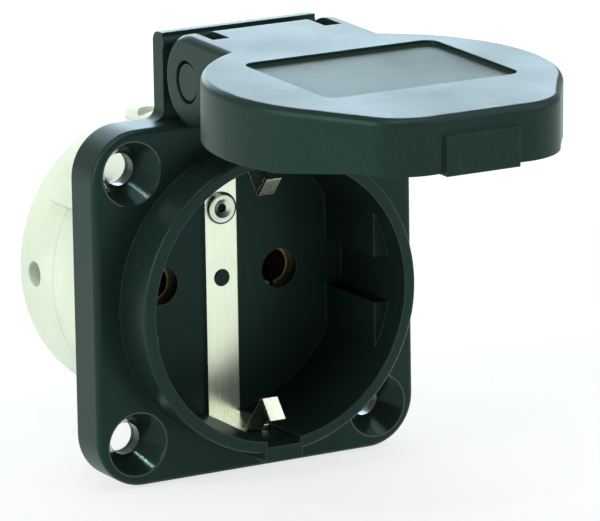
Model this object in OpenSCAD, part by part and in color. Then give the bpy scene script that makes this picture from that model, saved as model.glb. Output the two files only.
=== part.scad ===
// Industrial panel socket: square flange, round plug recess, hinged lid and ivory rear body.
// The origin is the middle of the flange's mounting face. X runs to the right seen from
// the front, the front faces -Y, and Z runs up toward the lid hinge.

/* [Flange] */
// side of the square flange
flange_side = 50; // [44:1:60]
// thickness of the flange
flange_thickness = 6.3; // [4:0.1:8]
// radius of the flange corners
flange_corner_radius = 7; // [4:0.5:10]
// rounding of the flange's front edge
flange_edge_round = 0.8; // [0.4:0.1:1.5]
// distance between neighbouring fixing holes
fixing_pitch = 38; // [34:1:44]
// diameter of the fixing holes
fixing_hole_diameter = 4.5; // [3.5:0.1:5.5]
// diameter of the countersinks at the front face
countersink_diameter = 8.8; // [7:0.1:9.6]
// depth of the countersinks
countersink_depth = 3.9; // [2.5:0.1:4.2]

/* [Collar and recess] */
// inner diameter of the plug recess
recess_diameter = 39.2; // [38.4:0.1:40]
// depth of the recess behind the collar rim
recess_depth = 17.5; // [16:0.5:19]
// how far the collar stands in front of the flange
collar_height = 7.1; // [5:0.1:9]
// wall thickness of the collar
collar_wall = 1.7; // [1.4:0.1:2.2]
// rounding of the collar rim
rim_round = 0.4; // [0.2:0.1:0.6]
// thickness of the recess floor
floor_thickness = 2; // [1.5:0.1:3]
// width of the keyway at the bottom of the recess
keyway_width = 5.2; // [4:0.1:6]
// depth of the keyway in the recess wall
keyway_depth = 0.7; // [0.4:0.1:0.9]
// width of the boss under the keyway
boss_width = 5.8; // [5:0.1:8]
// how far the boss stands out of the collar
boss_rise = 1.1; // [0.6:0.1:1.4]
// distance between the two plug pins
pin_spacing = 19; // [18.5:0.1:19.5]
// diameter of the pin openings in the recess floor
pin_opening_diameter = 5.6; // [5.2:0.1:6]
// distance of the side ledges from the middle
ledge_offset = 17.05; // [16.5:0.05:18]
// how far the ledges sit behind the collar rim
ledge_setback = 4.1; // [3:0.1:6]
// width of the guide slots through the ledges
guide_slot_width = 6.6; // [4:0.1:8]

/* [Earth strap and contacts] */
// width of the earth strap
strap_width = 5; // [4:0.1:6]
// thickness of the earth strap
strap_thickness = 0.6; // [0.4:0.1:0.9]
// width of the clip fingers
clip_width = 2.4; // [2:0.1:4]
// distance of the clip knees from the middle
clip_knee_offset = 14.3; // [14:0.1:15.6]
// how far the clip tips sit behind the collar rim
clip_setback = 1.8; // [1.4:0.1:4]
// height of the strap rivet above the middle
rivet_offset = 10; // [8:0.5:12]
// diameter of the strap rivet's head
rivet_head_diameter = 4.6; // [4:0.1:5]
// diameter of the rivet's shank
rivet_shank_diameter = 2.6; // [2.2:0.1:3]
// bore of the hollow rivet
rivet_bore_diameter = 1.3; // [1:0.1:1.6]
// diameter of the locating stud in the middle of the floor
stud_diameter = 2.2; // [1.6:0.1:2.6]
// bore of the contact sleeves
sleeve_bore_diameter = 4.7; // [4.6:0.05:4.9]
// wall thickness of the contact sleeves
sleeve_wall = 0.6; // [0.5:0.1:0.8]
// slot width in the contact sleeves
sleeve_slot = 0.7; // [0.5:0.1:1]

/* [Rear body] */
// diameter of the rear body
rear_diameter = 42; // [41:0.5:43]
// distance of the rear end from the mounting face
rear_length = 24.6; // [24.4:0.1:28]
// length of the contact carrier behind the recess
base_length = 8.1; // [7:0.1:9]
// wall thickness of the rear cover
cover_wall = 1.8; // [1.4:0.1:2.2]
// height of the flat on top of the rear body
top_flat_height = 19.7; // [18.6:0.1:20.4]
// width of the raised block on the flat
top_block_width = 8; // [7:0.5:12]
// top of the raised block
top_block_height = 21.4; // [20.9:0.1:22.2]
// diameter of the wire entries
wire_entry_diameter = 4.4; // [3.5:0.1:5]
// diameter of the screw access holes
screw_access_diameter = 3.6; // [3:0.1:4]
// height of the pads under the terminal blocks
terminal_stand = 2.4; // [1:0.1:3]
// width of the terminal blocks
terminal_width = 6; // [5:0.1:6.5]
// wire bore of the terminal blocks
terminal_bore_diameter = 2.6; // [2:0.1:3]
// thread diameter of the terminal screws
terminal_screw_diameter = 3; // [2.5:0.1:3.2]

/* [Hinge and lid] */
// height of the hinge axis above the middle
hinge_height = 31.5; // [31:0.1:32.5]
// distance of the hinge axis in front of the mounting face
hinge_forward = 9.5; // [9:0.1:10.5]
// diameter of the hinge pin
pin_diameter = 3; // [2.5:0.1:3.5]
// diameter of the pin head
pin_head_diameter = 5; // [4.5:0.1:5.6]
// half width of the lid's hinge end
hinge_half_width = 12; // [11:0.1:13]
// height of the flange's back plate above the middle
back_plate_top = 37.2; // [36:0.1:38]
// thickness of the back plate
back_plate_thickness = 2.7; // [2:0.1:2.8]
// thickness of the hinge ears on the flange
ear_thickness = 2; // [1.6:0.1:2.4]
// inner faces of the hinge ears
ear_inner_offset = 7.7; // [7:0.1:8]
// opening angle of the lid as it stands
lid_open_angle = 88.5; // [80:0.5:95]
// radius of the round part of the lid
lid_radius = 23.85; // [23.4:0.05:24.6]
// distance of the lid's straight front edge from its middle
lid_front = 25.1; // [24.8:0.1:26]
// angle of the straight sides that run to the front edge
lid_nose_angle = 56; // [50:1:65]
// radius of the lid's two front corners
lid_corner_radius = 8.5; // [3:0.5:10]
// thickness of the lid's top
lid_thickness = 2; // [1.6:0.1:2.4]
// depth of the lid's skirt round the collar
lid_height = 8.8; // [7.5:0.1:9.1]
// depth of the lid's skirt at the front edge
lid_front_height = 7.6; // [6.5:0.1:8.5]
// wall thickness of the lid's skirt
skirt_wall = 1.5; // [1.2:0.1:1.6]
// rounding of the lid's outer edge
lid_edge_round = 1.1; // [0.6:0.1:1.5]
// length of the label field
label_length = 29.5; // [24:0.5:32]
// width of the label field
label_width = 23.2; // [18:0.1:25]
// depth of the label field
label_depth = 0.6; // [0.3:0.05:0.8]
// width of the finger lip on the lid's front
lip_width = 11; // [8:0.5:14]
// height of the finger lip
lip_height = 5; // [3:0.5:6]
// how far the finger lip stands out of the skirt
lip_rise = 0.6; // [0.4:0.1:1]
// how far the finger lip reaches below the skirt edge
lip_drop = 0.35; // [0.1:0.05:0.6]

/* [Hidden] */
$fn = 64;
eps = 0.02;
flange_front = -flange_thickness;
rim_y = flange_front - collar_height;
recess_radius = recess_diameter / 2;
collar_radius = recess_radius + collar_wall;
floor_front = rim_y + recess_depth;
floor_rear = floor_front + floor_thickness;
ledge_front = rim_y + ledge_setback;
pocket_radius = recess_radius + keyway_depth;
base_rear = floor_rear + base_length;
rear_radius = rear_diameter / 2;
screw_boss_length = 4.5;
screw_boss_diameter = 6;
cover_screw_diameter = 2.9;
cover_screw_x = 10;
cover_screw_z = -12.5;
screw_head_diameter = cover_screw_diameter + 2.5;
screw_head_height = 1.5;
screw_head_depth = 1.8;
screw_head_room = 0.3;
screw_hole_play = 0.5;
screw_pillar_diameter = screw_head_diameter + 1.6;
driver_slot_length = 3.2;
driver_slot_width = 0.7;
driver_slot_depth = 0.8;
tab_width = 6;
tab_thickness = 1.4;
tab_reach = 6.4;
tab_gap = 0.2;
tab_bridge = 3.6;
catch_width = 2.6;
catch_depth = 1.6;
catch_play = 0.3;
catch_y = base_rear - 3;
catch_reach = 1.2;
panel_seal_inner = 22.2;
panel_seal_outer = 24;
panel_seal_depth = 1;
clip_bend_y = rim_y + 8.6;
bend_swell = 0.01;
clip_flare_depth = 2.2;
clip_flare_rise = 2.9;
lug_width = 4.6;
terminal_x = pin_spacing / 2 + sleeve_bore_diameter / 2 + sleeve_wall + 0.15 + terminal_width / 2;
earth_terminal_x = -2;
earth_terminal_z = 14.5;
cover_front = base_rear;
cover_end_wall = 1.2;
terminal_end_gap = 0.5;
terminal_front = base_rear + terminal_stand;
terminal_length = rear_length - cover_end_wall - terminal_end_gap - terminal_front;
screw_y = terminal_front + terminal_length / 2;
screw_bite = 0.6;
hinge_radius = 6.4;
ear_radius = 3.4;
ear_clearance = 0.05;
side_gap = 0.3;
pin_head_thickness = 0.8;
pin_head_recess = 1;
lid_outer_y = -hinge_forward - hinge_radius;
lid_inner_y = lid_outer_y + lid_thickness;
skirt_edge_y = lid_outer_y + lid_height;
slot_start = hinge_height - 3.8;
front_edge_y = lid_outer_y + lid_front_height;
front_cut_start = -10;
front_cut_end = -20;
nose_corner_y = lid_corner_radius - lid_front;
nose_corner_x = (lid_radius - lid_corner_radius + nose_corner_y * cos(lid_nose_angle)) / sin(lid_nose_angle);
nose_side_start = nose_corner_x * cos(lid_nose_angle) + nose_corner_y * sin(lid_nose_angle);
side_seat = 0.03;
side_end = 0.3;
top_step = 0.01;
front_reach = nose_corner_x - side_end;
lid_seal_inner = 19.2;
lid_seal_outer = 21.8;
lid_seal_inset = 0.6;
lid_seal_thickness = 0.95;
label_offset = 1.9;
label_shift = 1;

black = [0.14, 0.17, 0.17];
ivory = [0.92, 0.94, 0.88];
nickel = [0.80, 0.79, 0.72];
brass = [0.72, 0.58, 0.30];
steel = [0.62, 0.63, 0.64];
rubber = [0.06, 0.06, 0.06];

// a bar's section: half width a, height t, upper edges rounded by e
module soft_bar(a, t, e) {
    translate([-a, 0]) square([2 * a, t - e]);
    translate([e - a, t - e - eps]) square([2 * (a - e), e + eps]);
    translate([e - a, t - e]) circle(r = e);
    translate([a - e, t - e]) circle(r = e);
}

// square plate with round corners and a rounded front edge, lying on z = 0
module soft_plate(side, t, r, e) {
    straight = side - 2 * r;
    rotate([90, 0, 90]) translate([0, 0, -straight / 2]) linear_extrude(straight) soft_bar(side / 2, t, e);
    rotate([90, 0, 0]) translate([0, 0, -straight / 2]) linear_extrude(straight) soft_bar(side / 2, t, e);
    for (sx = [-1, 1], sz = [-1, 1])
        translate([sx * straight / 2, sz * straight / 2, 0])
            rotate_extrude() intersection() {
                soft_bar(r, t, e);
                square([r + 1, t + 1]);
            }
}

// stands a shape drawn in the XY plane upright: its height runs to the front from y
module to_front(y) {
    translate([0, y, 0]) rotate([90, 0, 0]) children();
}

// extrudes a section drawn in the YZ plane along X, over w, from x
module along_x(x, w) {
    translate([x, 0, 0]) rotate([90, 0, 90]) linear_extrude(w) children();
}

// bent strip of thickness t along a row of points, square at both ends
module bent_strip(pts, t) {
    for (i = [0 : len(pts) - 2]) {
        run = pts[i + 1] - pts[i];
        translate(pts[i]) rotate(atan2(run[1], run[0])) translate([0, -t / 2]) square([norm(run), t]);
    }
    for (i = [1 : len(pts) - 2])
        translate(pts[i]) circle(d = t + bend_swell);
}

// places a shape at both hinge ends
module both_sides() {
    children();
    mirror([1, 0, 0]) children();
}

// back plate behind the lid hinge, with fillets down to the flange
module back_plate() {
    corner = 1.5;
    foot = 1.6;
    along_x(-hinge_half_width, 2 * hinge_half_width) {
        translate([-back_plate_thickness, flange_side / 2 - 1])
            square([back_plate_thickness, back_plate_top - corner - flange_side / 2 + 1]);
        translate([-back_plate_thickness, back_plate_top - corner - eps])
            square([back_plate_thickness - corner, corner + eps]);
        translate([-corner, back_plate_top - corner]) circle(r = corner);
    }
    both_sides() difference() {
        translate([hinge_half_width - eps, -back_plate_thickness, flange_side / 2 - 1])
            cube([foot + eps, back_plate_thickness, foot + 1]);
        translate([hinge_half_width + foot, 1, flange_side / 2 + foot])
            rotate([90, 0, 0]) cylinder(r = foot, h = back_plate_thickness + 2);
    }
}

// hinge ears that stand out of the back plate round the pin
module hinge_ears() {
    both_sides() along_x(ear_inner_offset, ear_thickness) {
        translate([-hinge_forward, hinge_height]) circle(r = ear_radius);
        translate([-hinge_forward, hinge_height - ear_radius])
            square([hinge_forward - 1, 2 * ear_radius]);
    }
}

// square ledges at both sides of the recess, with a guide slot through the middle of each
module side_ledges() {
    both_sides() intersection() {
        to_front(floor_front + 0.5) cylinder(r = recess_radius + 0.5, h = floor_front - ledge_front + 0.5);
        for (top = [15, -guide_slot_width / 2])
            translate([ledge_offset, ledge_front, top - 15 + guide_slot_width / 2])
                cube([5, floor_front - ledge_front + 0.5, 15 - guide_slot_width / 2]);
    }
}

// flange, collar, recess and hinge ears in one black moulding
module front_housing() {
    color(black) difference() {
        union() {
            difference() {
                union() {
                    to_front(0)
                        soft_plate(flange_side, flange_thickness, flange_corner_radius, flange_edge_round);
                    to_front(floor_rear) rotate_extrude() {
                        square([collar_radius, floor_rear - rim_y - rim_round]);
                        square([collar_radius - rim_round, floor_rear - rim_y]);
                        translate([collar_radius - rim_round, floor_rear - rim_y - rim_round])
                            circle(r = rim_round);
                    }
                    translate([-boss_width / 2, rim_y, -collar_radius - boss_rise])
                        cube([boss_width, collar_height + 1, 4]);
                    back_plate();
                    hinge_ears();
                }
                to_front(floor_front) cylinder(r = recess_radius, h = recess_depth + 1);
                translate([-keyway_width / 2, rim_y - 1, -pocket_radius])
                    cube([keyway_width, recess_depth + 1, pocket_radius]);
                translate([-keyway_width / 2, rim_y + 1.6, 0])
                    cube([keyway_width, recess_depth - 1.6, pocket_radius]);
            }
            side_ledges();
            to_front(floor_front + 0.5) cylinder(d = stud_diameter, h = 1.3);
            for (sx = [-1, 1])
                translate([sx * cover_screw_x, 0, cover_screw_z])
                    to_front(floor_rear + screw_boss_length)
                        cylinder(d = screw_boss_diameter, h = screw_boss_length + 0.5);
        }
        for (sx = [-1, 1], sz = [-1, 1])
            translate([sx * fixing_pitch / 2, 0, sz * fixing_pitch / 2]) {
                to_front(1) cylinder(d = fixing_hole_diameter, h = flange_thickness + 2);
                to_front(flange_front + countersink_depth)
                    cylinder(d1 = fixing_hole_diameter, d2 = countersink_diameter, h = countersink_depth);
                to_front(flange_front + eps) cylinder(d = countersink_diameter, h = 1);
            }
        for (sx = [-1, 1]) {
            translate([sx * pin_spacing / 2, 0, 0])
                to_front(floor_rear + 1) cylinder(d = pin_opening_diameter, h = floor_thickness + 2);
            translate([sx * cover_screw_x, 0, cover_screw_z])
                to_front(floor_rear + screw_boss_length + 1)
                    cylinder(d = cover_screw_diameter, h = screw_boss_length + 2);
        }
        translate([0, 0, rivet_offset])
            to_front(floor_rear + 1) cylinder(d = rivet_shank_diameter, h = floor_thickness + 2);
        to_front(1) difference() {
            cylinder(r = panel_seal_outer, h = 1 + panel_seal_depth);
            translate([0, 0, -1]) cylinder(r = panel_seal_inner, h = 4);
        }
        along_x(-hinge_half_width - 1, 2 * hinge_half_width + 2)
            translate([-hinge_forward, hinge_height]) circle(d = pin_diameter + 2 * ear_clearance);
    }
}

// flat rubber ring in the groove of the mounting face
module panel_seal() {
    color(rubber) to_front(0) difference() {
        cylinder(r = panel_seal_outer, h = panel_seal_depth);
        translate([0, 0, -1]) cylinder(r = panel_seal_inner, h = panel_seal_depth + 2);
    }
}

// side view of one earth clip, drawn with y forward and z outward
module clip_side() {
    arm = pocket_radius - 0.1 - strap_thickness / 2;
    bent_strip([
        [floor_front - strap_thickness / 2, arm - 4],
        [floor_front - strap_thickness / 2, arm],
        [clip_bend_y, arm]
    ], strap_thickness);
}

// sprung finger at the end of a clip arm
module clip_finger() {
    arm = pocket_radius - 0.1 - strap_thickness / 2;
    tip_y = rim_y + clip_setback;
    bent_strip([
        [clip_bend_y + 1, arm],
        [clip_bend_y, arm],
        [tip_y + clip_flare_depth, clip_knee_offset + strap_thickness / 2],
        [tip_y, clip_knee_offset + clip_flare_rise]
    ], strap_thickness);
}

// sprung earth strap on the recess floor with a clip at each end
module earth_strap() {
    color(nickel) difference() {
        union() {
            translate([-strap_width / 2, floor_front - strap_thickness, -pocket_radius + 1])
                cube([strap_width, strap_thickness, 2 * pocket_radius - 2]);
            for (sz = [0, 1]) mirror([0, 0, sz]) {
                along_x(-strap_width / 2, strap_width) clip_side();
                along_x(-clip_width / 2, clip_width) clip_finger();
            }
        }
        to_front(floor_front + 1) cylinder(d = stud_diameter + 0.2, h = 3);
        translate([0, 0, rivet_offset]) to_front(floor_front + 1) cylinder(d = rivet_shank_diameter, h = 3);
    }
}

// hollow rivet through the strap, the floor and the earth lug
module strap_rivet() {
    grip = strap_thickness + floor_thickness + strap_thickness;
    head = 0.7;
    rear = floor_rear + strap_thickness;
    color(nickel) translate([0, 0, rivet_offset]) to_front(rear + head) rotate_extrude()
        difference() {
            union() {
                square([rivet_shank_diameter / 2, grip + 2 * head]);
                square([rivet_head_diameter / 2, head]);
                translate([0, head + grip]) square([rivet_head_diameter / 2 - 0.5, head]);
                translate([0, head + grip]) square([rivet_head_diameter / 2, head - 0.5]);
                translate([rivet_head_diameter / 2 - 0.5, head + grip + head - 0.5])
                    intersection() {
                        circle(r = 0.5);
                        square([1, 1]);
                    }
            }
            translate([0, -1]) square([rivet_bore_diameter / 2, grip + 2 * head + 2]);
            translate([0, grip + 2 * head - 0.35])
                polygon([[0, 0], [rivet_bore_diameter / 2, 0], [1.4, 0.35 + eps], [0, 0.35 + eps]]);
        }
}

// metal lug from the rivet to the earth terminal
module earth_lug() {
    leg_z = earth_terminal_z + 1;
    color(brass) difference() {
        union() {
            translate([-lug_width / 2, floor_rear, rivet_offset - 2.6])
                cube([lug_width, strap_thickness, leg_z - rivet_offset + 2.6]);
            translate([-lug_width / 2, floor_rear, leg_z - strap_thickness])
                cube([lug_width, base_length + terminal_stand, strap_thickness]);
        }
        translate([0, 0, rivet_offset]) to_front(floor_rear + 2) cylinder(d = rivet_shank_diameter, h = 4);
    }
}

// split brass sleeve for one plug pin, with a tab to its terminal
module contact_sleeve() {
    outer = sleeve_bore_diameter / 2 + sleeve_wall;
    front = floor_rear + 0.3;
    length = base_length + 3;
    difference() {
        union() {
            translate([pin_spacing / 2, 0, 0]) to_front(front + length) cylinder(r = outer, h = length);
            translate([pin_spacing / 2 + outer - 0.3, base_rear + 0.3, -2])
                cube([0.45, terminal_front + terminal_length / 2 - base_rear - 0.3, 4]);
        }
        translate([pin_spacing / 2, 0, 0])
            to_front(front + length + 1) cylinder(d = sleeve_bore_diameter, h = length + 2);
        translate([pin_spacing / 2 - sleeve_slot / 2, front - 1, -5]) cube([sleeve_slot, 8, 10]);
    }
}

// right-hand contact sleeve
module contact_right() {
    color(brass) contact_sleeve();
}

// left-hand contact sleeve
module contact_left() {
    color(brass) mirror([1, 0, 0]) contact_sleeve();
}

// spring ring that closes a contact sleeve
module contact_spring() {
    inner = sleeve_bore_diameter / 2 + sleeve_wall;
    translate([pin_spacing / 2, 0, 0]) to_front(floor_rear + 4.6) difference() {
        cylinder(r = inner + 0.4, h = 2.4);
        translate([0, 0, -1]) cylinder(r = inner, h = 5);
        translate([0, -0.6, -1]) cube([6, 1.2, 5]);
    }
}

// right-hand spring ring
module contact_spring_right() {
    color(steel) contact_spring();
}

// left-hand spring ring
module contact_spring_left() {
    color(steel) mirror([1, 0, 0]) contact_spring();
}

// terminal block with a wire bore from the rear
module terminal_block() {
    translate([-terminal_width / 2, terminal_front, -terminal_width / 2])
        cube([terminal_width, terminal_length, terminal_width]);
}

// wire bore of a terminal block
module terminal_bore() {
    to_front(terminal_front + terminal_length + 1) cylinder(d = terminal_bore_diameter, h = terminal_length);
}

// right-hand terminal, clamped from the side
module side_terminal() {
    translate([terminal_x, 0, 0]) difference() {
        terminal_block();
        terminal_bore();
        translate([-screw_bite - 0.1, screw_y, 0])
            rotate([0, 90, 0]) cylinder(d = terminal_screw_diameter, h = terminal_width);
    }
}

// right-hand terminal
module terminal_right() {
    color(brass) side_terminal();
}

// left-hand terminal
module terminal_left() {
    color(brass) mirror([1, 0, 0]) side_terminal();
}

// earth terminal, clamped from above
module terminal_earth() {
    color(brass) translate([earth_terminal_x, 0, earth_terminal_z]) difference() {
        terminal_block();
        terminal_bore();
        translate([0, screw_y, -screw_bite - 0.1])
            cylinder(d = terminal_screw_diameter, h = terminal_width);
    }
}

// one slotted terminal screw, standing on its tip at the origin
module grub_screw() {
    length = terminal_width / 2 + 1;
    difference() {
        cylinder(d = terminal_screw_diameter, h = length);
        translate([-3, -0.3, length - 0.8]) cube([6, 0.6, 2]);
    }
}

// three slotted terminal screws
module terminal_screws() {
    color(steel) {
        both_sides() translate([terminal_x - screw_bite, screw_y, 0]) rotate([0, 90, 0]) grub_screw();
        translate([earth_terminal_x, screw_y, earth_terminal_z - screw_bite]) grub_screw();
    }
}

// section of the rear body: round with a flat on top
module rear_section() {
    intersection() {
        circle(r = rear_radius);
        translate([-rear_radius, -rear_radius]) square([2 * rear_radius, rear_radius + top_flat_height]);
    }
}

// places a shape at both upper snap tabs, drawn at the right end of the X axis
module at_snap_tabs() {
    for (a = [37, 143]) rotate([0, -a, 0]) children();
}

// square pad that carries a terminal block
module terminal_pad(x, z) {
    translate([x - terminal_width / 2, base_rear - 1, z - terminal_width / 2])
        cube([terminal_width, terminal_stand + 1, terminal_width]);
}

// round contact carrier behind the recess floor
module contact_base() {
    color(ivory) difference() {
        union() {
            to_front(base_rear) linear_extrude(base_length) rear_section();
            at_snap_tabs()
                translate([rear_radius - 0.5, catch_y - catch_depth, -catch_width / 2])
                    cube([catch_reach + 0.5, catch_depth, catch_width]);
            for (x = [-terminal_x, terminal_x]) terminal_pad(x, 0);
            terminal_pad(earth_terminal_x, earth_terminal_z);
        }
        for (sx = [-1, 1]) {
            translate([sx * pin_spacing / 2, 0, 0])
                to_front(base_rear + 1) cylinder(d = 7, h = base_length + 2);
            translate([sx * cover_screw_x, 0, cover_screw_z]) {
                to_front(base_rear + 1)
                    cylinder(d = cover_screw_diameter + screw_hole_play, h = base_length + 2);
                to_front(floor_rear + screw_boss_length + 0.3)
                    cylinder(d = screw_boss_diameter + 0.4, h = screw_boss_length + 1);
            }
        }
        translate([0, 0, rivet_offset]) to_front(floor_rear + 1.7) cylinder(d = 5.4, h = 3);
        translate([-lug_width / 2 - 0.3, floor_rear - 1, rivet_offset - 2.9])
            cube([lug_width + 0.6, 1.9, earth_terminal_z - rivet_offset + 4.2]);
        translate([-lug_width / 2 - 0.3, floor_rear - 1, earth_terminal_z + 0.1])
            cube([lug_width + 0.6, base_length + terminal_stand + 2, 1.2]);
    }
}

// ivory cup over the terminals, with wire entries and snap tabs
module terminal_cover() {
    length = rear_length - cover_front;
    edge = 0.8;
    block_corner = 1.5;
    inner_flat = top_flat_height - cover_wall;
    color(ivory) difference() {
        union() {
            intersection() {
                to_front(cover_front + length) rotate_extrude() {
                    translate([0, edge]) square([rear_radius, length - edge]);
                    square([rear_radius - edge, length]);
                    translate([rear_radius - edge, edge]) circle(r = edge);
                }
                translate([-30, cover_front - 1, -30]) cube([60, length + 2, 30 + top_flat_height]);
            }
            to_front(rear_length - edge) linear_extrude(length - edge) {
                translate([-top_block_width / 2, inner_flat])
                    square([top_block_width, top_block_height - block_corner - inner_flat]);
                translate([block_corner - top_block_width / 2, inner_flat])
                    square([top_block_width - 2 * block_corner, top_block_height - inner_flat]);
                for (sx = [-1, 1])
                    translate([sx * (top_block_width / 2 - block_corner), top_block_height - block_corner])
                        circle(r = block_corner);
            }
            at_snap_tabs() {
                translate([rear_radius + tab_gap, cover_front - tab_reach, -tab_width / 2])
                    cube([tab_thickness, tab_reach + tab_bridge, tab_width]);
                translate([rear_radius - 1, cover_front, -tab_width / 2])
                    cube([tab_gap + 1.1, tab_bridge, tab_width]);
            }
        }
        difference() {
            to_front(rear_length - cover_end_wall)
                cylinder(r = rear_radius - cover_wall, h = length - cover_end_wall + 1);
            translate([-30, cover_front - 2, inner_flat - 0.2]) cube([60, length + 4, 10]);
            for (sx = [-1, 1])
                translate([sx * cover_screw_x, 0, cover_screw_z])
                    to_front(rear_length)
                        cylinder(d = screw_pillar_diameter, h = length);
        }
        for (sx = [-1, 1]) {
            translate([sx * terminal_x, 0, 0])
                to_front(rear_length + 1) cylinder(d = wire_entry_diameter, h = 3);
            translate([sx * (rear_radius - cover_wall - 1), screw_y, 0])
                rotate([0, sx * 90, 0]) cylinder(d = screw_access_diameter, h = 4);
            translate([sx * cover_screw_x, 0, cover_screw_z]) {
                to_front(rear_length + 1)
                    cylinder(d = cover_screw_diameter + screw_hole_play, h = length + 2);
                to_front(rear_length + 1)
                    cylinder(d = screw_head_diameter + 2 * screw_head_room, h = screw_head_depth + 1);
            }
        }
        translate([earth_terminal_x, 0, earth_terminal_z])
            to_front(rear_length + 1) cylinder(d = wire_entry_diameter, h = 3);
        translate([earth_terminal_x, screw_y, inner_flat - 1]) cylinder(d = screw_access_diameter, h = 6);
        at_snap_tabs()
            translate([rear_radius, catch_y - catch_depth - catch_play, -catch_width / 2 - catch_play])
                cube([2.5, catch_depth + 2 * catch_play, catch_width + 2 * catch_play]);
    }
}

// two long screws from the rear cover into the housing
module cover_screws() {
    seat = rear_length - screw_head_depth;
    tip = floor_rear - 0.7;
    slot_y = seat + screw_head_height - driver_slot_depth;
    color(steel) for (sx = [-1, 1])
        translate([sx * cover_screw_x, 0, cover_screw_z]) difference() {
            union() {
                to_front(seat) cylinder(d = cover_screw_diameter, h = seat - tip);
                to_front(seat + screw_head_height) cylinder(d = screw_head_diameter, h = screw_head_height);
            }
            translate([-driver_slot_length / 2, slot_y, -driver_slot_width / 2])
                cube([driver_slot_length, 2, driver_slot_width]);
            translate([-driver_slot_width / 2, slot_y, -driver_slot_length / 2])
                cube([driver_slot_width, 2, driver_slot_length]);
        }
}

// turns parts drawn with the lid closed to the lid's standing position
module lid_pose() {
    translate([0, -hinge_forward, hinge_height]) rotate([-lid_open_angle, 0, 0])
        translate([0, hinge_forward, -hinge_height]) children();
}

// solid under a soft-edged outline: a disc of radius r
module soft_disc(r) {
    rotate_extrude() intersection() {
        soft_bar(r, lid_height, lid_edge_round);
        square([r + 1, lid_height + 1]);
    }
}

// soft-edged bar of width w: its outer side lies at reach, over y from y0 to y1
module soft_side(reach, w, y0, y1) {
    intersection() {
        rotate([90, 0, 0]) translate([0, 0, -y1 - 1]) linear_extrude(y1 - y0 + 2)
            soft_bar(reach, lid_height, lid_edge_round);
        translate([reach - w, y0, -1]) cube([w + 1, y1 - y0, lid_height + 2]);
    }
}

// outer form of the closed lid, standing on its skirt edge: round, with a straight front edge
module lid_form() {
    to_front(skirt_edge_y) {
        soft_disc(lid_radius);
        translate([0, 0, -3 * top_step]) rotate(-90)
            soft_side(lid_front - side_seat, lid_front / 2, -front_reach, front_reach);
        both_sides() {
            translate([nose_corner_x, nose_corner_y, -top_step]) soft_disc(lid_corner_radius);
            translate([0, 0, -2 * top_step]) rotate(lid_nose_angle - 90)
                soft_side(lid_radius - side_seat, lid_radius / 2, nose_side_start + side_end, 0);
        }
        rotate([90, 0, 0]) translate([0, 0, -hinge_height])
            linear_extrude(hinge_height - lid_radius * 0.75)
                soft_bar(hinge_half_width, lid_height, lid_edge_round);
    }
    translate([0, -hinge_forward, hinge_height]) rotate([0, 90, 0]) rotate_extrude() {
        translate([0, lid_edge_round - hinge_half_width])
            square([hinge_radius, 2 * (hinge_half_width - lid_edge_round)]);
        translate([0, -hinge_half_width]) square([hinge_radius - lid_edge_round, 2 * hinge_half_width]);
        for (sy = [-1, 1])
            translate([hinge_radius - lid_edge_round, sy * (hinge_half_width - lid_edge_round)])
                circle(r = lid_edge_round);
    }
}

// plan of the lid's hollow, one wall inside its outline
module hollow_plan() {
    inner = lid_radius - skirt_wall;
    corner = lid_corner_radius - skirt_wall;
    circle(r = inner);
    translate([-nose_corner_x, skirt_wall + side_seat - lid_front])
        square([2 * nose_corner_x, lid_front / 2]);
    both_sides() {
        translate([nose_corner_x, nose_corner_y]) circle(r = corner);
        rotate(lid_nose_angle - 90)
            translate([lid_radius / 2, nose_side_start])
                square([inner - side_seat - lid_radius / 2, -nose_side_start]);
    }
}

// hollow of the lid, open at the skirt edge
module lid_hollow() {
    depth = lid_height - lid_thickness;
    to_front(skirt_edge_y + 1) linear_extrude(depth + 1) hollow_plan();
}

// sloping cut that raises the skirt's edge toward the front, with the lip left standing
module front_cut() {
    difference() {
        along_x(-lid_radius - 1, 2 * lid_radius + 2) polygon([
            [skirt_edge_y + 1, front_cut_start],
            [skirt_edge_y, front_cut_start],
            [front_edge_y, front_cut_end],
            [front_edge_y, -lid_front - lip_rise - 1],
            [skirt_edge_y + 1, -lid_front - lip_rise - 1]
        ]);
        translate([-lip_width / 2, front_edge_y - 1, -lid_front - lip_rise - 2])
            cube([lip_width, 1 + lip_drop, lip_rise + skirt_wall + 2]);
    }
}

// rectangle with round corners
module round_rect(w, h, r) {
    translate([-w / 2, r - h / 2]) square([w, h - 2 * r]);
    translate([r - w / 2, -h / 2]) square([w - 2 * r, h]);
    for (sx = [-1, 1], sy = [-1, 1])
        translate([sx * (w / 2 - r), sy * (h / 2 - r)]) circle(r = r);
}

// lid with skirt, label field, finger lip and hinge lugs, drawn closed
module closed_lid() {
    difference() {
        union() {
            lid_form();
            translate([-lip_width / 2, front_edge_y - lip_height, -lid_front - lip_rise])
                cube([lip_width, lip_height + skirt_edge_y - front_edge_y, lip_rise + skirt_wall / 2]);
        }
        lid_hollow();
        front_cut();
        to_front(lid_inner_y + 1) difference() {
            cylinder(r = lid_seal_outer, h = lid_seal_inset + 1);
            translate([0, 0, -1]) cylinder(r = lid_seal_inner, h = 4);
        }
        translate([label_shift, 0, label_offset]) to_front(lid_outer_y + label_depth)
            linear_extrude(2) round_rect(label_length, label_width, 2);
        both_sides() {
            translate([ear_inner_offset - side_gap, -30, slot_start])
                cube([ear_thickness + 2 * side_gap, 40, 20]);
            translate([hinge_half_width - pin_head_recess, -hinge_forward, hinge_height])
                rotate([0, 90, 0]) cylinder(d = pin_head_diameter + 1, h = 3);
        }
        along_x(-hinge_half_width - 1, 2 * hinge_half_width + 2)
            translate([-hinge_forward, hinge_height]) circle(d = pin_diameter + 0.04);
    }
}

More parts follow.
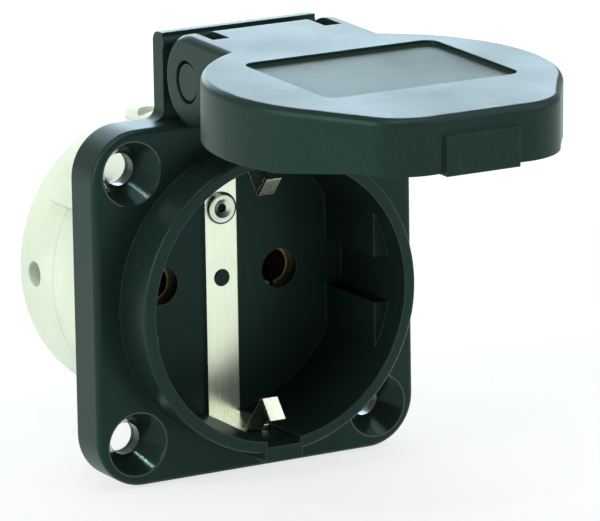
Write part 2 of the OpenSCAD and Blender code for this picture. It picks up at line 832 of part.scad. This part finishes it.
// hinged lid
module lid() {
    color(black) lid_pose() closed_lid();
}

// rubber ring inside the lid
module lid_seal() {
    color(rubber) lid_pose() to_front(lid_inner_y - lid_seal_inset + lid_seal_thickness) difference() {
        cylinder(r = lid_seal_outer, h = lid_seal_thickness);
        translate([0, 0, -1]) cylinder(r = lid_seal_inner, h = 4);
    }
}

// hinge pin with a flat head at each end
module hinge_pin() {
    reach = hinge_half_width - pin_head_recess;
    color(steel) translate([0, -hinge_forward, hinge_height]) rotate([0, 90, 0]) {
        translate([0, 0, -reach - eps]) cylinder(d = pin_diameter, h = 2 * reach + 2 * eps);
        translate([0, 0, reach]) cylinder(d = pin_head_diameter, h = pin_head_thickness);
        translate([0, 0, -reach - pin_head_thickness])
            cylinder(d = pin_head_diameter, h = pin_head_thickness);
    }
}

front_housing();
panel_seal();
earth_strap();
strap_rivet();
earth_lug();
contact_left();
contact_right();
contact_spring_left();
contact_spring_right();
terminal_left();
terminal_right();
terminal_earth();
terminal_screws();
contact_base();
terminal_cover();
cover_screws();
lid();
lid_seal();
hinge_pin();
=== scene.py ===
import math

import bpy
from mathutils import Matrix, Vector


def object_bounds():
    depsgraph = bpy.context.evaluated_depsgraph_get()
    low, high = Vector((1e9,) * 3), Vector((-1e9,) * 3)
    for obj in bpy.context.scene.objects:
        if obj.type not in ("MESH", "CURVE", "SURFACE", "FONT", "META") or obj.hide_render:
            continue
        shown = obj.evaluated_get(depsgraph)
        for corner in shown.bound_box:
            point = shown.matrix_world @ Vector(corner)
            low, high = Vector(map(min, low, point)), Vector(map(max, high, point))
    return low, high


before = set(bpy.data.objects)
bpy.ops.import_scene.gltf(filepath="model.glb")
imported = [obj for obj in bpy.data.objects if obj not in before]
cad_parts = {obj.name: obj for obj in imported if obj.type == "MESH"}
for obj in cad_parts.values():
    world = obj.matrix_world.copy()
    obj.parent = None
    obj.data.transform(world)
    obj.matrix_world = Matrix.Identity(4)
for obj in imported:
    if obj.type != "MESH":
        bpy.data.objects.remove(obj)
cad_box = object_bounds()

# ---------------------------------------------------------------- front housing
# One black moulding in glass-filled nylon: flange, collar, plug recess and hinge ears.
# The skin is satin with a fine spark-eroded grain, and the countersinks are polished.
# Four screws through them hold it to the panel.

MM = 0.001
white = (1.0, 1.0, 1.0)


def put(tree, kind, **settings):
    """A node in a tree, with its properties set by name."""
    node = tree.nodes.new(kind)
    for key, value in settings.items():
        setattr(node, key, value)
    return node


def feed(tree, value, socket):
    """Gives an input what it takes: a link, a colour or a number."""
    if isinstance(value, bpy.types.NodeSocket):
        tree.links.new(value, socket)
    elif isinstance(value, tuple):
        socket.default_value = (*value, 1.0)
    else:
        socket.default_value = value


def math_node(tree, operation, *values, clamp=False):
    """A Math node on sockets or numbers, and its result."""
    node = put(tree, "ShaderNodeMath", operation=operation, use_clamp=clamp)
    for value, socket in zip(values, node.inputs):
        feed(tree, value, socket)
    return node.outputs[0]


def ramp(tree, value, low, high, out_low=0.0, out_high=1.0):
    """A value mapped from one range to another, held at the ends."""
    node = put(tree, "ShaderNodeMapRange", clamp=True)
    for number, socket in zip((value, low, high, out_low, out_high), node.inputs):
        feed(tree, number, socket)
    return node.outputs[0]


def noise_node(tree, place, scale, detail, roughness=0.5):
    """A Noise Texture's value at a scale in cells a metre."""
    node = put(tree, "ShaderNodeTexNoise")
    tree.links.new(place, node.inputs["Vector"])
    feed(tree, scale, node.inputs["Scale"])
    node.inputs["Detail"].default_value = detail
    node.inputs["Roughness"].default_value = roughness
    return node.outputs[0]


def mix_colour(tree, factor, a, b):
    """Two colours or colour sockets mixed by a factor socket."""
    node = put(tree, "ShaderNodeMix", data_type="RGBA")
    for value, index in ((factor, 0), (a, 6), (b, 7)):
        feed(tree, value, node.inputs[index])
    return node.outputs[2]


def object_place(tree):
    """A point's place in the part's own frame."""
    return put(tree, "ShaderNodeTexCoord").outputs["Object"]


def new_group(name, inputs, outputs):
    """An empty shader group with named inputs (name, kind, value) and outputs (name, kind)."""
    group = bpy.data.node_groups.new(name, "ShaderNodeTree")
    for label, kind, value in inputs:
        socket = group.interface.new_socket(label, in_out="INPUT", socket_type=kind)
        socket.default_value = value
    for label, kind in outputs:
        group.interface.new_socket(label, in_out="OUTPUT", socket_type=kind)
    return group, group.nodes.new("NodeGroupInput"), group.nodes.new("NodeGroupOutput")


def soft_edge_group():
    """Rounded normals at sharp edges, and a mask that is 1 on the outer edges."""
    group, source, result = new_group(
        "soft_edges",
        [("Edge Radius", "NodeSocketFloat", 0.3 * MM)],
        [("Normal", "NodeSocketVector"), ("Edge", "NodeSocketFloat")],
    )
    unturned, turned = 0.97, 0.80
    thick, thin = 0.95, 0.70
    bevel = put(group, "ShaderNodeBevel", samples=6)
    group.links.new(source.outputs["Edge Radius"], bevel.inputs["Radius"])
    geometry = put(group, "ShaderNodeNewGeometry")
    dot = put(group, "ShaderNodeVectorMath", operation="DOT_PRODUCT")
    group.links.new(bevel.outputs[0], dot.inputs[0])
    group.links.new(geometry.outputs["Normal"], dot.inputs[1])
    group.links.new(bevel.outputs[0], result.inputs["Normal"])
    inner = put(group, "ShaderNodeAmbientOcclusion", samples=6, inside=True)
    inner.inputs["Distance"].default_value = 0.8 * MM
    corner = ramp(group, dot.outputs["Value"], unturned, turned)
    outer = ramp(group, inner.outputs["AO"], thick, thin)
    group.links.new(math_node(group, "MULTIPLY", corner, outer), result.inputs["Edge"])
    return group


def moulded_grain_group():
    """Fine mould grain, slow cloudiness and the rare bright speckles of a moulded skin."""
    group, source, result = new_group(
        "moulded_grain",
        [("Grain Scale", "NodeSocketFloat", 2600.0), ("Cloud Scale", "NodeSocketFloat", 60.0)],
        [("Height", "NodeSocketFloat"), ("Cloud", "NodeSocketFloat"), ("Speckle", "NodeSocketFloat")],
    )
    place = object_place(group)
    fine = noise_node(group, place, source.outputs["Grain Scale"], detail=3.0, roughness=0.65)
    cloud = noise_node(group, place, source.outputs["Cloud Scale"], detail=4.0)
    group.links.new(fine, result.inputs["Height"])
    group.links.new(ramp(group, cloud, 0.35, 0.65), result.inputs["Cloud"])
    group.links.new(ramp(group, fine, 0.56, 0.70), result.inputs["Speckle"])
    return group


soft_edges = soft_edge_group()
moulded_grain = moulded_grain_group()


def new_material(name):
    """A material with a Principled BSDF and nothing linked to it."""
    material = bpy.data.materials.new(name)
    material.use_nodes = True
    tree = material.node_tree
    tree.nodes.clear()
    shader = put(tree, "ShaderNodeBsdfPrincipled")
    output = put(tree, "ShaderNodeOutputMaterial")
    tree.links.new(shader.outputs[0], output.inputs["Surface"])
    return material, tree, shader


def bumped(tree, shader, height, strength, distance, normal):
    """Feeds a height through a Bump node, over a normal, into the shader."""
    bump = put(tree, "ShaderNodeBump")
    bump.inputs["Strength"].default_value = strength
    bump.inputs["Distance"].default_value = distance
    tree.links.new(height, bump.inputs["Height"])
    tree.links.new(normal, bump.inputs["Normal"])
    tree.links.new(bump.outputs[0], shader.inputs["Normal"])


def moulded_plastic(name, body, worn, rough, specular, edge=0.3 * MM, grain=2600.0, bump=0.12,
                    tint=white, gleam=0.0, extra=None):
    """A moulded plastic: a cloudy body colour, lighter worn edges, grain and speckle.

    gleam coats its edges, and extra may change its colour, roughness, normal and gloss.
    """
    cloud_shade, cloud_rough = 0.86, 0.03
    speckle_share, rim_share = 0.20, 0.5
    grain_relief = 0.05 * MM
    material, tree, shader = new_material(name)
    skin = put(tree, "ShaderNodeGroup", node_tree=moulded_grain)
    skin.inputs["Grain Scale"].default_value = grain
    edges = put(tree, "ShaderNodeGroup", node_tree=soft_edges)
    edges.inputs["Edge Radius"].default_value = edge
    shaded = tuple(channel * cloud_shade for channel in body)
    colour = mix_colour(tree, skin.outputs["Cloud"], shaded, body)
    speckle = math_node(tree, "MULTIPLY", skin.outputs["Speckle"], speckle_share)
    colour = mix_colour(tree, speckle, colour, worn)
    rim = math_node(tree, "MULTIPLY", edges.outputs["Edge"], rim_share)
    colour = mix_colour(tree, rim, colour, worn)
    roughness = ramp(tree, skin.outputs["Cloud"], 0.0, 1.0, rough - cloud_rough, rough + cloud_rough)
    normal = edges.outputs["Normal"]
    gloss = math_node(tree, "MULTIPLY", edges.outputs["Edge"], gleam)
    if extra:
        colour, roughness, normal, gloss = extra(tree, colour, roughness, normal, gloss)
    tree.links.new(colour, shader.inputs["Base Color"])
    tree.links.new(roughness, shader.inputs["Roughness"])
    tree.links.new(gloss, shader.inputs["Coat Weight"])
    shader.inputs["Coat Roughness"].default_value = 0.10
    shader.inputs["Specular IOR Level"].default_value = specular
    shader.inputs["Specular Tint"].default_value = (*tint, 1.0)
    bumped(tree, shader, skin.outputs["Height"], bump, grain_relief, normal)
    return material


def dress(names, material):
    """Gives every material slot of the named CAD nodes the same material."""
    for name in names:
        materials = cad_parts[name].data.materials
        if not materials:
            materials.append(material)
        for index in range(len(materials)):
            materials[index] = material


hole_offset = 19.0 * MM
countersink_radius = 4.6 * MM
countersink_back = -1.0 * MM
countersink_polish = 0.20
countersink_opening = 0.39


def polished_countersinks(tree, colour, roughness, normal, gloss):
    """Polishes the four countersinks, and opens their cones a little with the normal."""
    place = put(tree, "ShaderNodeSeparateXYZ")
    tree.links.new(object_place(tree), place.inputs[0])
    across = math_node(tree, "SUBTRACT", math_node(tree, "ABSOLUTE", place.outputs["X"]), hole_offset)
    along = math_node(tree, "SUBTRACT", math_node(tree, "ABSOLUTE", place.outputs["Z"]), hole_offset)
    square = math_node(tree, "ADD", math_node(tree, "MULTIPLY", across, across),
                       math_node(tree, "MULTIPLY", along, along))
    inside = math_node(tree, "LESS_THAN", math_node(tree, "SQRT", square), countersink_radius)
    in_front = math_node(tree, "LESS_THAN", place.outputs["Y"], countersink_back)
    inside = math_node(tree, "MULTIPLY", inside, in_front)
    smoother = math_node(tree, "MULTIPLY", inside, -countersink_polish)
    roughness = math_node(tree, "ADD", roughness, smoother, clamp=True)
    gloss = math_node(tree, "MAXIMUM", gloss, inside)
    lean = put(tree, "ShaderNodeCombineXYZ")
    tree.links.new(math_node(tree, "MULTIPLY", inside, -countersink_opening), lean.inputs["Y"])
    opened = put(tree, "ShaderNodeVectorMath", operation="ADD")
    tree.links.new(normal, opened.inputs[0])
    tree.links.new(lean.outputs[0], opened.inputs[1])
    unit = put(tree, "ShaderNodeVectorMath", operation="NORMALIZE")
    tree.links.new(opened.outputs[0], unit.inputs[0])
    return colour, roughness, unit.outputs[0], gloss


housing_black = (0.0090, 0.0185, 0.0165)
housing_worn = (0.034, 0.056, 0.052)
housing_sheen = (0.58, 1.0, 0.95)
dress(["front_housing"], moulded_plastic("housing_nylon", housing_black, housing_worn, rough=0.36,
                                         specular=0.28, grain=2200.0, bump=0.26, gleam=0.8,
                                         tint=housing_sheen, extra=polished_countersinks))

# ---------------------------------------------------------------- lid
# One moulding in the same nylon, with a stronger grain, that turns on the hinge pin.
# The label field on its top is a shallow bare recess with a duller, faintly greener floor.

lid_black = (0.0095, 0.0190, 0.0165)
lid_worn = (0.036, 0.058, 0.054)
label_black = (0.0120, 0.0220, 0.0145)
label_dulling = 0.08
label_half_length = 14.75 * MM
label_half_width = 11.6 * MM
label_shift = 1.0 * MM
label_offset = 1.9 * MM
label_depth = 0.6 * MM
label_play = 0.1 * MM
lid_open = math.radians(88.5)
hinge_y = -9.5 * MM
hinge_z = 31.5 * MM
lid_outer = -15.9 * MM
flat_depth = 0.035 * MM
round_depth = 0.08 * MM


def lid_top(tree, colour, roughness, normal, gloss):
    """Evens out the lid's flat top and dulls its label field, both placed as on the closed lid."""
    close = put(tree, "ShaderNodeMapping")
    close.inputs["Rotation"].default_value = (lid_open, 0, 0)
    axis = Vector((0, hinge_y, hinge_z))
    close.inputs["Location"].default_value = axis - Matrix.Rotation(lid_open, 3, "X") @ axis
    tree.links.new(object_place(tree), close.inputs["Vector"])
    place = put(tree, "ShaderNodeSeparateXYZ")
    tree.links.new(close.outputs[0], place.inputs[0])
    depth = math_node(tree, "SUBTRACT", place.outputs["Y"], lid_outer)
    across = math_node(tree, "ABSOLUTE", math_node(tree, "SUBTRACT", place.outputs["X"], label_shift))
    along = math_node(tree, "ABSOLUTE", math_node(tree, "SUBTRACT", place.outputs["Z"], label_offset))
    field = math_node(tree, "COMPARE", depth, label_depth, label_play)
    field = math_node(tree, "MULTIPLY", field, math_node(tree, "LESS_THAN", across, label_half_length))
    field = math_node(tree, "MULTIPLY", field, math_node(tree, "LESS_THAN", along, label_half_width))
    colour = mix_colour(tree, field, colour, label_black)
    duller = math_node(tree, "MULTIPLY", field, label_dulling)
    roughness = math_node(tree, "ADD", roughness, duller, clamp=True)
    facing = put(tree, "ShaderNodeVectorTransform", vector_type="NORMAL",
                 convert_from="OBJECT", convert_to="WORLD")
    facing.inputs[0].default_value = Matrix.Rotation(-lid_open, 3, "X") @ Vector((0, -1, 0))
    flat = put(tree, "ShaderNodeMix", data_type="VECTOR")
    tree.links.new(ramp(tree, depth, flat_depth, round_depth, 1.0, 0.0), flat.inputs[0])
    tree.links.new(normal, flat.inputs[4])
    tree.links.new(facing.outputs[0], flat.inputs[5])
    return colour, roughness, flat.outputs[1], gloss


dress(["lid"], moulded_plastic("lid_nylon", lid_black, lid_worn, rough=0.36, specular=0.27,
                               edge=0.35 * MM, grain=2200.0, bump=0.60,
                               tint=housing_sheen, extra=lid_top))

# ---------------------------------------------------------------- seals
# Two flat rings cut from black chloroprene sheet. One lies behind the flange and seals
# it to the panel, the other lies inside the lid and closes on the collar.

rubber_black = (0.012, 0.012, 0.012)
rubber_dusty = (0.045, 0.045, 0.042)
dress(["panel_seal", "lid_seal"], moulded_plastic("seal_rubber", rubber_black, rubber_dusty, rough=0.70,
                                                  specular=0.3, grain=1400.0, bump=0.25))

# ---------------------------------------------------------------- earth strap and rivet
# The strap is pressed from sprung nickel-plated strip and rolled along its length;
# a hollow rivet of the same plate holds it to the recess floor.


def metal(name, body, stain, rough, stretch, streak_scale, bump=0.05, vary=0.06):
    """A plated or bare metal with streaks along one axis, cloudy tarnish and soft edges."""
    cloud_scale, tarnish_share = 240.0, 0.45
    streak_relief = 0.03 * MM
    material, tree, shader = new_material(name)
    shader.inputs["Metallic"].default_value = 1.0
    mapping = put(tree, "ShaderNodeMapping")
    mapping.inputs["Scale"].default_value = stretch
    tree.links.new(object_place(tree), mapping.inputs["Vector"])
    streaks = noise_node(tree, mapping.outputs[0], streak_scale, detail=3.0, roughness=0.6)
    skin = put(tree, "ShaderNodeGroup", node_tree=moulded_grain)
    skin.inputs["Cloud Scale"].default_value = cloud_scale
    edges = put(tree, "ShaderNodeGroup", node_tree=soft_edges)
    edges.inputs["Edge Radius"].default_value = 0.15 * MM
    tarnish = math_node(tree, "MULTIPLY", skin.outputs["Cloud"], tarnish_share)
    tree.links.new(mix_colour(tree, tarnish, body, stain), shader.inputs["Base Color"])
    tree.links.new(ramp(tree, streaks, 0.3, 0.7, rough - vary, rough + vary), shader.inputs["Roughness"])
    bumped(tree, shader, streaks, bump, streak_relief, edges.outputs["Normal"])
    return material


rolled_lengthwise = (1.0, 1.0, 0.08)
even = (1.0, 1.0, 1.0)
nickel_plate = (0.99, 0.96, 0.84)
nickel_stain = (0.89, 0.89, 0.74)
rivet_plate = (0.80, 0.80, 0.75)
rivet_stain = (0.60, 0.60, 0.55)
dress(["earth_strap"], metal("nickel_strip", nickel_plate, nickel_stain, rough=0.26,
                             stretch=rolled_lengthwise, streak_scale=1600.0, bump=0.01, vary=0.02))
dress(["strap_rivet"], metal("nickel_rivet", rivet_plate, rivet_stain, rough=0.26,
                             stretch=even, streak_scale=1500.0))

# ---------------------------------------------------------------- contacts and terminals
# Brass sleeves, earth lug and terminal blocks, plain from the press, with sprung steel
# rings round the sleeves and zinc-plated screws. All but the cover's screws sit in the
# contact carrier.

drawn_to_the_rear = (1.0, 0.1, 1.0)
brass_bright = (0.42, 0.31, 0.16)
brass_dull = (0.28, 0.20, 0.10)
dress(["earth_lug", "contact_left", "contact_right", "terminal_left", "terminal_right", "terminal_earth"],
      metal("brass_plain", brass_bright, brass_dull, rough=0.38,
            stretch=drawn_to_the_rear, streak_scale=1800.0))
spring_bright = (0.42, 0.42, 0.43)
spring_dull = (0.30, 0.28, 0.26)
dress(["contact_spring_left", "contact_spring_right"],
      metal("spring_steel", spring_bright, spring_dull, rough=0.32,
            stretch=drawn_to_the_rear, streak_scale=1800.0))
zinc_bright = (0.62, 0.64, 0.66)
zinc_dull = (0.50, 0.50, 0.46)
dress(["terminal_screws", "cover_screws"],
      metal("zinc_steel", zinc_bright, zinc_dull, rough=0.30, stretch=even, streak_scale=1300.0))

# ---------------------------------------------------------------- rear body
# The contact carrier and the terminal cover are moulded in ivory urea resin. Two screws
# and the cover's snap tabs hold them behind the flange.

ivory_body = (0.76, 0.765, 0.67)
ivory_worn = (0.81, 0.82, 0.73)
ivory = moulded_plastic("ivory_resin", ivory_body, ivory_worn, rough=0.42, specular=0.5, bump=0.06)
resin = ivory.node_tree.nodes["Principled BSDF"]
resin.inputs["Subsurface Weight"].default_value = 0.15
resin.inputs["Subsurface Radius"].default_value = (1.2 * MM, 1.0 * MM, 0.7 * MM)
resin.inputs["Subsurface Scale"].default_value = 1.0
dress(["contact_base", "terminal_cover"], ivory)

# ---------------------------------------------------------------- hinge pin
# A steel pin coated in glossy black. It runs through the housing's ears and the lid's
# lugs, and a flat head at each end keeps it there.

pin_black = (0.009, 0.017, 0.017)
pin_worn = (0.036, 0.058, 0.054)
dress(["hinge_pin"], moulded_plastic("pin_coating", pin_black, pin_worn, rough=0.28, specular=0.28,
                                     edge=0.4 * MM, bump=0.03, gleam=1.0, tint=housing_sheen))

# ---------------------------------------------------------------- studio
# A pale floor just under the flange, in a pale room. Large soft lights stand above, on
# the left and high on the right, and small ones close behind and close on the right.
# A small lamp at the left front glints in the countersinks.

floor_drop = 0.4 * MM
floor_size = 6.0
floor_grey = (0.86, 0.86, 0.86)
floor_gleam = (0.86, 1.0, 0.90)
floor_share = 0.75
bpy.ops.mesh.primitive_plane_add(size=floor_size, location=(0, 0, cad_box[0][2] - floor_drop))
floor = bpy.context.object
floor.name = "studio_floor"
floor_white = bpy.data.materials.new("floor_white")
floor_white.use_nodes = True
tree = floor_white.node_tree
tree.nodes.clear()
matt = put(tree, "ShaderNodeBsdfDiffuse")
matt.inputs["Color"].default_value = (*floor_grey, 1.0)
glow = put(tree, "ShaderNodeEmission")
glow.inputs["Strength"].default_value = 1.0
path = put(tree, "ShaderNodeLightPath")
tree.links.new(mix_colour(tree, path.outputs["Is Camera Ray"], floor_gleam, white), glow.inputs["Color"])
seen = math_node(tree, "MAXIMUM", path.outputs["Is Camera Ray"], path.outputs["Is Glossy Ray"])
blend = put(tree, "ShaderNodeMixShader")
tree.links.new(math_node(tree, "MULTIPLY", seen, floor_share), blend.inputs[0])
tree.links.new(matt.outputs[0], blend.inputs[1])
tree.links.new(glow.outputs[0], blend.inputs[2])
tree.links.new(blend.outputs[0], put(tree, "ShaderNodeOutputMaterial").inputs["Surface"])
floor.data.materials.append(floor_white)

room_colour = (0.88, 1.0, 0.93)
room_strength = 0.56
world = bpy.data.worlds.new("studio_white")
bpy.context.scene.world = world
world.use_nodes = True
tree = world.node_tree
tree.nodes.clear()
path = put(tree, "ShaderNodeLightPath")
seen = math_node(tree, "MAXIMUM", path.outputs["Is Camera Ray"], path.outputs["Is Transmission Ray"])
sky = put(tree, "ShaderNodeBackground")
tree.links.new(mix_colour(tree, seen, room_colour, white), sky.inputs["Color"])
tree.links.new(ramp(tree, seen, 0.0, 1.0, room_strength, 1.0), sky.inputs["Strength"])
tree.links.new(sky.outputs[0], put(tree, "ShaderNodeOutputWorld").inputs["Surface"])


def direction(azimuth, elevation):
    """A unit vector away from the part. Azimuth 0 is in front of it and 90 on its right."""
    turn = math.radians(azimuth)
    rise = math.radians(elevation)
    return Vector((math.sin(turn) * math.cos(rise), -math.cos(turn) * math.cos(rise), math.sin(rise)))


def softbox(name, azimuth, elevation, distance, size, power, colour=white):
    """A rectangular area light aimed at the part."""
    lamp = bpy.data.lights.new(name, "AREA")
    lamp.shape = "RECTANGLE"
    lamp.size, lamp.size_y = size
    lamp.energy = power
    lamp.color = colour
    away = direction(azimuth, elevation)
    holder = bpy.data.objects.new(name, lamp)
    holder.location = away * distance
    holder.rotation_euler = away.to_track_quat("Z", "Y").to_euler()
    bpy.context.scene.collection.objects.link(holder)


softbox("back_softbox", azimuth=158, elevation=17, distance=0.35, size=(0.30, 0.16), power=0.78,
        colour=(0.66, 0.86, 1.0))
softbox("top_softbox", azimuth=20, elevation=75, distance=1.2, size=(0.9, 0.9), power=3.5)
softbox("left_softbox", azimuth=-85, elevation=20, distance=1.2, size=(0.7, 0.9), power=7.6,
        colour=(0.86, 1.0, 0.84))
softbox("right_softbox", azimuth=45, elevation=28, distance=0.35, size=(0.22, 0.12), power=0.16,
        colour=(0.82, 1.0, 0.88))
softbox("side_softbox", azimuth=66, elevation=55, distance=1.2, size=(0.6, 0.6), power=0.6)
softbox("key_lamp", azimuth=-33, elevation=56, distance=1.2, size=(0.07, 0.07), power=1.7)

# ---------------------------------------------------------------- camera
# It looks from the left front, a little above, through a long lens, and leans over by
# about a degree.

view_azimuth = -29.581
view_elevation = 13.713
view_roll = -0.901
view_distance = 799.651 * MM
view_target = Vector((6.983 * MM, -6.3 * MM, 3.519 * MM))
camera_data = bpy.data.cameras.new("camera")
camera_data.lens = 346.777
camera_data.sensor_width = 36.0
camera_data.clip_start = 0.01
turn = math.radians(view_azimuth)
roll = math.radians(view_roll)
back = direction(view_azimuth, view_elevation)
right = Vector((math.cos(turn), math.sin(turn), 0.0))
up = back.cross(right)
right_rolled = math.cos(roll) * right + math.sin(roll) * up
up_rolled = -math.sin(roll) * right + math.cos(roll) * up
camera = bpy.data.objects.new("camera", camera_data)
bpy.context.scene.collection.objects.link(camera)
axes = Matrix((right_rolled, up_rolled, back)).transposed().to_4x4()
camera.matrix_world = Matrix.Translation(view_target + back * view_distance) @ axes
bpy.context.scene.camera = camera

bpy.context.scene.view_settings.view_transform = "Standard"
